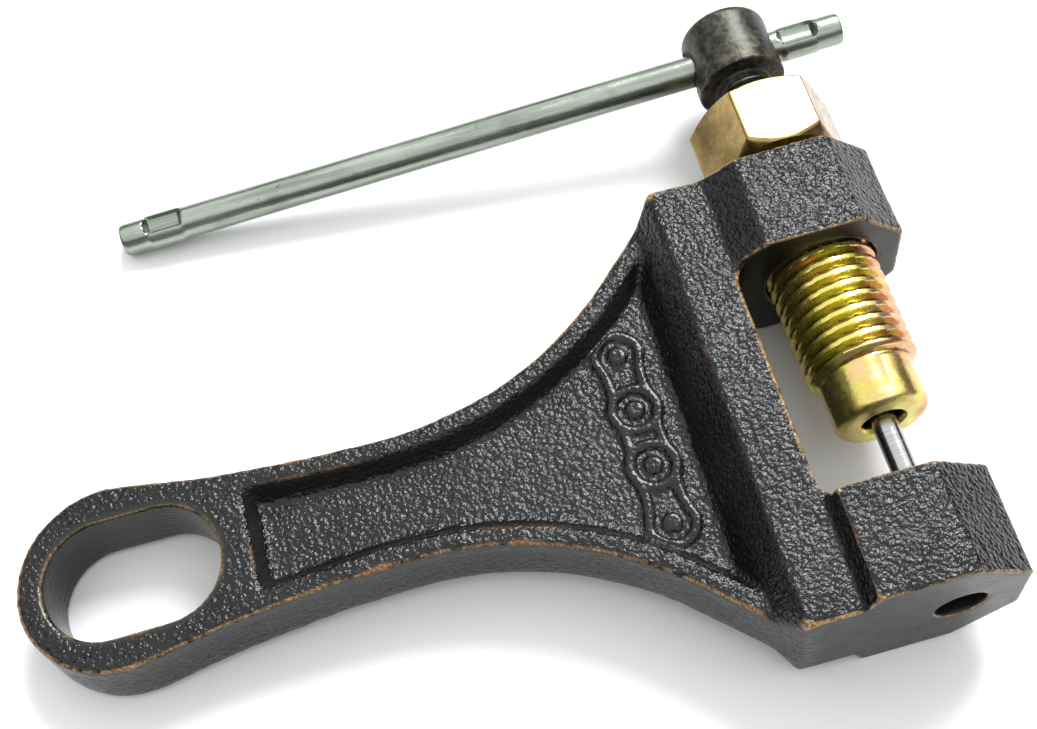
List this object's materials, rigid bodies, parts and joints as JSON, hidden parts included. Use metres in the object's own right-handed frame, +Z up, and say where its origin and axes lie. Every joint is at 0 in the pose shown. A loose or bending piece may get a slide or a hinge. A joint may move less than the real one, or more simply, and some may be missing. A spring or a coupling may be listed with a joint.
{
  "type": "chain tool",
  "caption": "Screw-type chain tool with a cast handle frame, a hollow press bolt, a drive screw with a sliding bar and a stepped pin that pushes out chain pins.",
  "frame": {"origin": "centre of the threaded boss's bottom flat, right under the screw axis, halfway along the boss", "axes": "+X from the handle's eye towards the outer side of the jaws, +Y along the screw axis from the anvil towards the hub and its bar, +Z up, square to the frame's middle plane"},
  "size_m": [0.1356, 0.0978, 0.024],
  "materials": {
    "black_casting": "textured black coating with worn edges",
    "yellow_zinc_steel": "glossy yellow zinc plating",
    "dark_steel": "blackened steel, lightly mottled",
    "ground_steel": "ground and polished steel",
    "spring_steel": "plain spring wire",
    "bright_zinc_steel": "dull bright zinc plating with dark specks"
  },
  "bodies": {
    "frame": {"tool_frame": "black_casting"},
    "bolt_feed": {"return_spring": "spring_steel"},
    "bolt": {"press_bolt": "yellow_zinc_steel"},
    "pin": {"extractor_pin": "ground_steel"},
    "screw": {"drive_screw": "dark_steel"},
    "bar": {"tommy_bar": "bright_zinc_steel"}
  },
  "joints": [
    {"name": "press_bolt_feed", "type": "slide", "parent": "frame", "child": "bolt_feed", "axis": [0, 1, 0], "range_m": [-0.00251, 0.02401]},
    {"name": "press_bolt_turn", "type": "hinge", "parent": "bolt_feed", "child": "bolt", "pos_m": [0, 0, 0.012], "axis": [0, 1, 0], "range_deg": [-450, 4320]},
    {"name": "pin_feed", "type": "slide", "parent": "bolt", "child": "pin", "axis": [0, 1, 0], "range_m": [-0.00541, 0.01591], "deforming": ["return_spring"]},
    {"name": "drive_screw_turn", "type": "hinge", "parent": "pin", "child": "screw", "pos_m": [0, 0, 0.012], "axis": [0, 1, 0], "range_deg": [-1296, 3816]},
    {"name": "tommy_bar_slide", "type": "slide", "parent": "screw", "child": "bar", "axis": [0.9991, 0, 0.0419], "range_m": [0, 0.0806]}
  ],
  "couplings": [
    {"joint": "press_bolt_feed", "follows": "press_bolt_turn", "m_per_rad": 0.00031831},
    {"joint": "pin_feed", "follows": "drive_screw_turn", "m_per_rad": 0.00023873}
  ]
}
